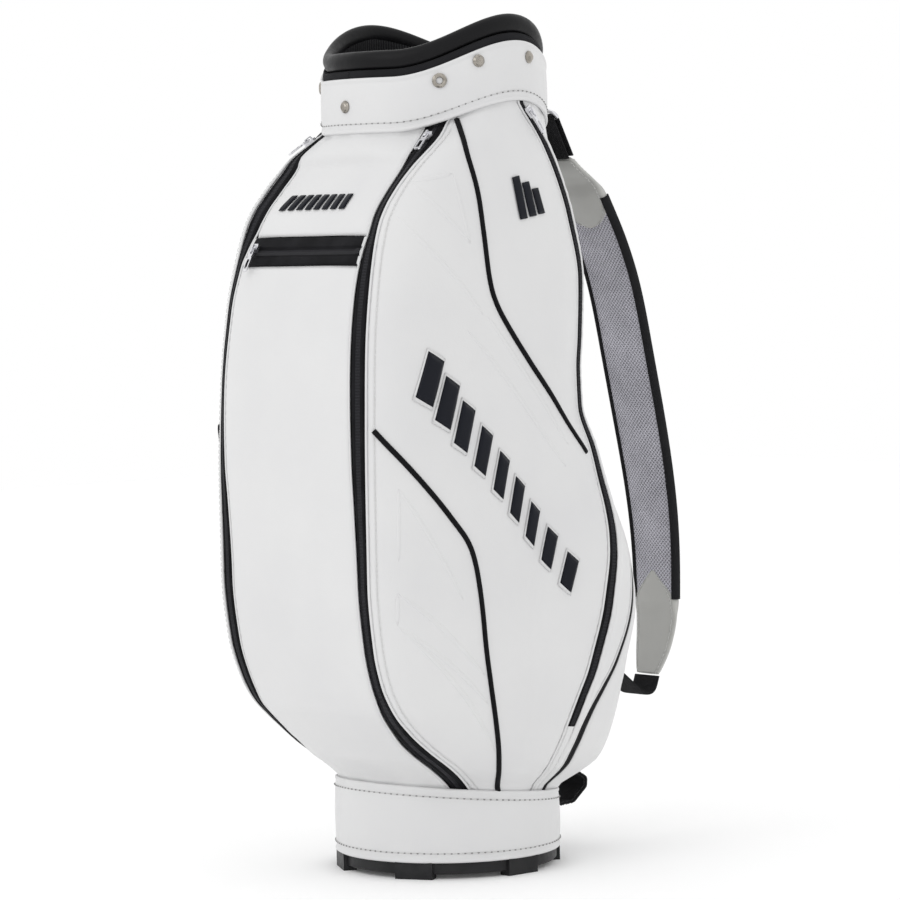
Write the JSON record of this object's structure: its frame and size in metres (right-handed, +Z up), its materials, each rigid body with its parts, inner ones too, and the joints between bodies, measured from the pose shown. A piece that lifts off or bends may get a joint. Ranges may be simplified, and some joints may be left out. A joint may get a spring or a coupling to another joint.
{
  "type": "golf staff bag",
  "caption": "Upright white golf bag with a round collar, padded rim, swelling zipped side pockets, black trim and a padded carrying strap down its spine.",
  "frame": {"origin": "centre of the round base on the floor", "axes": "+Z up the tube, -Y towards the front pocket, +Y towards the spine and its strap, +X the bag's right-hand side seen from the front"},
  "size_m": [0.3332, 0.5489, 0.904],
  "materials": {
    "black_fabric": "woven black nylon",
    "black_leather": "semi-gloss black synthetic leather",
    "black_plastic": "moulded black plastic",
    "black_webbing": "ribbed black webbing",
    "divider_fabric": "brushed dark fabric",
    "hanger_metal": "antique brass",
    "mesh_pad": "pale air mesh with black binding",
    "ring_metal": "bright steel wire",
    "strap_leather": "off-white synthetic leather",
    "stud_metal": "aged nickel",
    "tube_board": "dark plastic sheet",
    "white_leather": "fine-grained white synthetic leather",
    "zip_metal": "bright plated zinc"
  },
  "bodies": {
    "bag": {"accessory_zip_tape": "black_fabric", "back_panel": "white_leather", "base_band": "white_leather", "base_tray": "black_plastic", "body_tube": "tube_board", "cuff_band": "white_leather", "cuff_eyelets": "stud_metal", "cuff_liner": "black_fabric", "cuff_snaps": "stud_metal", "cuff_trim": "black_fabric", "divider_frame": "black_plastic", "divider_sheet_centre_front": "divider_fabric", "divider_sheet_centre_middle": "divider_fabric", "divider_sheet_centre_rear": "divider_fabric", "divider_sheet_front": "divider_fabric", "divider_sheet_rear": "divider_fabric", "front_panel_lower": "white_leather", "front_panel_upper": "white_leather", "front_pocket_wall_left": "divider_fabric", "front_pocket_wall_right": "divider_fabric", "front_zip_tape_left": "black_fabric", "front_zip_tape_right": "black_fabric", "grab_handle_patch": "black_webbing", "haul_handle_tabs": "black_webbing", "rear_gusset_left": "black_fabric", "rear_gusset_right": "black_fabric", "rear_panel_left": "white_leather", "rear_panel_right": "white_leather", "rear_pocket_wall_left": "divider_fabric", "rear_pocket_wall_right": "divider_fabric", "rear_zip_tape_left": "black_fabric", "rear_zip_tape_right": "black_fabric", "rim_roll": "black_leather", "side_panel_left": "white_leather", "side_panel_right": "white_leather", "strap_hanger_bottom": "hanger_metal", "strap_hanger_top": "hanger_metal", "top_collar": "black_plastic"},
    "strap": {"strap_adjuster": "black_plastic", "strap_end_bottom": "strap_leather", "strap_end_top": "strap_leather", "strap_pad": "mesh_pad", "strap_ring_bottom": "ring_metal", "strap_ring_top": "ring_metal", "strap_web_anchor": "black_webbing", "strap_web_bottom": "black_webbing", "strap_web_top": "black_webbing"},
    "haul_handle": {"haul_handle": "black_leather"},
    "grab_handle": {"grab_handle": "black_webbing"},
    "front_zip_right_slider": {"front_zip_right_slider": "zip_metal"},
    "front_zip_right_pull": {"front_zip_right_pull": "zip_metal"},
    "front_zip_left_slider": {"front_zip_left_slider": "zip_metal"},
    "front_zip_left_pull": {"front_zip_left_pull": "zip_metal"},
    "rear_zip_right_slider": {"rear_zip_right_slider": "zip_metal"},
    "rear_zip_right_pull": {"rear_zip_right_pull": "zip_metal"},
    "rear_zip_left_slider": {"rear_zip_left_slider": "zip_metal"},
    "rear_zip_left_pull": {"rear_zip_left_pull": "zip_metal"},
    "accessory_zip_slider": {"accessory_zip_slider": "zip_metal"},
    "accessory_zip_pull": {"accessory_zip_pull": "zip_metal"}
  },
  "joints": [
    {"name": "strap_swing", "type": "hinge", "parent": "bag", "child": "strap", "pos_m": [0, 0.141, 0.53], "axis": [0, 0, 1], "range_deg": [-40, 40]},
    {"name": "haul_handle_swing", "type": "hinge", "parent": "bag", "child": "haul_handle", "pos_m": [0, 0.129, 0.714], "axis": [0, 0, 1], "range_deg": [-30, 30]},
    {"name": "grab_handle_tilt", "type": "hinge", "parent": "bag", "child": "grab_handle", "pos_m": [0, 0.129, 0.062], "axis": [1, 0, 0], "range_deg": [-30, 30]},
    {"name": "front_zip_right_travel", "type": "hinge", "parent": "bag", "child": "front_zip_right_slider", "pos_m": [0.15611, 0.05838, 0.55998], "axis": [0.9734, -0.1436, 0.1787], "range_deg": [0, 29]},
    {"name": "front_zip_right_pull_flip", "type": "hinge", "parent": "front_zip_right_slider", "child": "front_zip_right_pull", "pos_m": [0.09492, -0.09653, 0.77872], "axis": [-0.9373, -0.3467, 0.0349], "range_deg": [0, 100]},
    {"name": "front_zip_left_travel", "type": "hinge", "parent": "bag", "child": "front_zip_left_slider", "pos_m": [-0.15611, 0.05838, 0.55998], "axis": [0.9734, 0.1436, -0.1787], "range_deg": [0, 29]},
    {"name": "front_zip_left_pull_flip", "type": "hinge", "parent": "front_zip_left_slider", "child": "front_zip_left_pull", "pos_m": [-0.09492, -0.09653, 0.77872], "axis": [-0.9373, 0.3467, -0.0349], "range_deg": [0, 100]},
    {"name": "rear_zip_right_travel", "type": "hinge", "parent": "bag", "child": "rear_zip_right_slider", "pos_m": [0.18486, -0.1392, 0.63196], "axis": [-0.9568, -0.2687, -0.1114], "range_deg": [0, 36.5]},
    {"name": "rear_zip_right_pull_flip", "type": "hinge", "parent": "rear_zip_right_slider", "child": "rear_zip_right_pull", "pos_m": [0.1222, 0.02799, 0.80229], "axis": [0.3589, -0.7985, -0.4833], "range_deg": [0, 100]},
    {"name": "rear_zip_left_travel", "type": "hinge", "parent": "bag", "child": "rear_zip_left_slider", "pos_m": [-0.18486, -0.1392, 0.63196], "axis": [-0.9568, 0.2687, 0.1114], "range_deg": [0, 36.5]},
    {"name": "rear_zip_left_pull_flip", "type": "hinge", "parent": "rear_zip_left_slider", "child": "rear_zip_left_pull", "pos_m": [-0.1222, 0.02799, 0.80229], "axis": [0.3589, 0.7985, 0.4833], "range_deg": [0, 100]},
    {"name": "accessory_zip_travel", "type": "slide", "parent": "bag", "child": "accessory_zip_slider", "axis": [1, 0, 0], "range_m": [0, 0.144]},
    {"name": "accessory_zip_pull_flip", "type": "hinge", "parent": "accessory_zip_slider", "child": "accessory_zip_pull", "pos_m": [-0.07214, -0.19391, 0.66373], "axis": [-1, 0, 0], "range_deg": [0, 150]}
  ]
}
